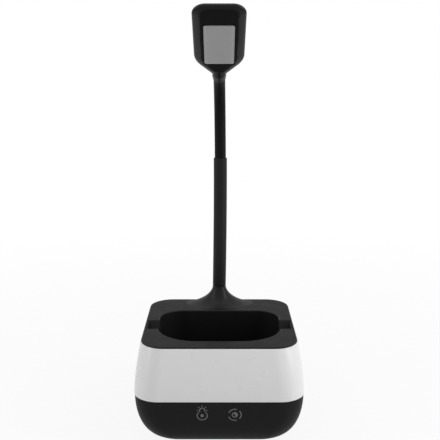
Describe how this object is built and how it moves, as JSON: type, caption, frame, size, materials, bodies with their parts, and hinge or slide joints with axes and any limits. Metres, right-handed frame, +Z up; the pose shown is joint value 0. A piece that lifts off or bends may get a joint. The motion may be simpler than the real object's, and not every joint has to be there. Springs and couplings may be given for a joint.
{
  "type": "desk lamp",
  "caption": "Gooseneck LED desk lamp whose square rounded base is an open pen well with a phone groove across its rims.",
  "frame": {"origin": "centre of the base where it stands on the desk", "axes": "+Z up, -Y towards the front with the touch icons, neck at +Y"},
  "size_m": [0.128, 0.128, 0.322],
  "materials": {
    "black_shell": "fine matt moulded black",
    "white_gloss": "glossy white",
    "black_deck": "satin black",
    "silicone": "matt black silicone",
    "foot_rubber": "matt grey rubber",
    "steel": "zinc-plated steel",
    "circuit_board": "green circuit board",
    "white_board": "white solder mask",
    "led_yellow": "LED phosphor",
    "diffuser_white": "translucent milky plastic",
    "cell_wrap": "heat-shrink sleeve",
    "inner_black": "plain black",
    "copper": "copper pad"
  },
  "bodies": {
    "base": {"lower_shell": "black_shell", "white_band": "white_gloss", "top_tray": "black_deck", "rubber_feet": "foot_rubber", "case_screws": "steel", "steel_ballast": "steel", "battery_cell": "cell_wrap", "battery_cradle": "inner_black", "charging_board": "circuit_board", "board_screws": "steel", "usb_socket": "steel", "touch_board": "circuit_board", "touch_pads": "copper", "neck_stub": "steel", "neck_washer": "steel", "neck_nut": "steel", "lower_sleeve": "silicone"},
    "link_01": {"core_link_01": "steel"},
    "link_02": {"core_link_02": "steel"},
    "link_03": {"core_link_03": "steel"},
    "link_04": {"core_link_04": "steel", "upper_sleeve": "silicone"},
    "link_05": {"core_link_05": "steel"},
    "link_06": {"core_link_06": "steel"},
    "link_07": {"core_link_07": "steel"},
    "link_08": {"core_link_08": "steel"},
    "link_09": {"core_link_09": "steel"},
    "link_10": {"core_link_10": "steel"},
    "head": {"head_fitting": "steel", "neck_collar": "silicone", "head_front_cover": "black_deck", "head_back_cover": "black_deck", "head_screws": "steel", "led_board": "white_board", "leds": "led_yellow", "reflector_frame": "white_board", "diffuser": "diffuser_white"}
  },
  "joints": [
    {"name": "lower_pitch_1", "type": "hinge", "parent": "base", "child": "link_01", "pos_m": [0, 0.05097, 0.1071], "axis": [-1, 0, 0], "range_deg": [-12, 12], "deforming": ["lower_sleeve"]},
    {"name": "lower_side_1", "type": "hinge", "parent": "link_01", "child": "link_02", "pos_m": [0, 0.05273, 0.13504], "axis": [0, 0.9953, -0.0965], "range_deg": [-12, 12]},
    {"name": "lower_pitch_2", "type": "hinge", "parent": "link_02", "child": "link_03", "pos_m": [0, 0.05595, 0.16285], "axis": [-1, 0, 0], "range_deg": [-12, 12]},
    {"name": "lower_side_2", "type": "hinge", "parent": "link_03", "child": "link_04", "pos_m": [0, 0.05778, 0.19079], "axis": [0, 0.9995, -0.0319], "range_deg": [-12, 12]},
    {"name": "upper_pitch_1", "type": "hinge", "parent": "link_04", "child": "link_05", "pos_m": [0, 0.05799, 0.21278], "axis": [-1, 0, 0], "range_deg": [-10, 18], "deforming": ["upper_sleeve"]},
    {"name": "upper_side_1", "type": "hinge", "parent": "link_05", "child": "link_06", "pos_m": [0, 0.05799, 0.22278], "axis": [0, 1, 0], "range_deg": [-15, 15]},
    {"name": "upper_pitch_2", "type": "hinge", "parent": "link_06", "child": "link_07", "pos_m": [0, 0.05781, 0.23278], "axis": [-1, 0, 0], "range_deg": [-10, 18]},
    {"name": "upper_side_2", "type": "hinge", "parent": "link_07", "child": "link_08", "pos_m": [0, 0.056, 0.2426], "axis": [0, 0.9613, 0.2755], "range_deg": [-15, 15]},
    {"name": "upper_pitch_3", "type": "hinge", "parent": "link_08", "child": "link_09", "pos_m": [0, 0.05233, 0.25188], "axis": [-1, 0, 0], "range_deg": [-10, 18]},
    {"name": "upper_side_3", "type": "hinge", "parent": "link_09", "child": "link_10", "pos_m": [0, 0.04695, 0.26029], "axis": [0, 0.7859, 0.6184], "range_deg": [-15, 15]},
    {"name": "upper_pitch_4", "type": "hinge", "parent": "link_10", "child": "head", "pos_m": [0, 0.04004, 0.2675], "axis": [-1, 0, 0], "range_deg": [-10, 18]}
  ],
  "couplings": [
    {"joint": "lower_pitch_2", "follows": "lower_pitch_1", "ratio": 1},
    {"joint": "lower_side_2", "follows": "lower_side_1", "ratio": 1},
    {"joint": "upper_pitch_2", "follows": "upper_pitch_1", "ratio": 1},
    {"joint": "upper_side_2", "follows": "upper_side_1", "ratio": 1},
    {"joint": "upper_pitch_3", "follows": "upper_pitch_1", "ratio": 1},
    {"joint": "upper_side_3", "follows": "upper_side_1", "ratio": 1},
    {"joint": "upper_pitch_4", "follows": "upper_pitch_1", "ratio": 1}
  ]
}
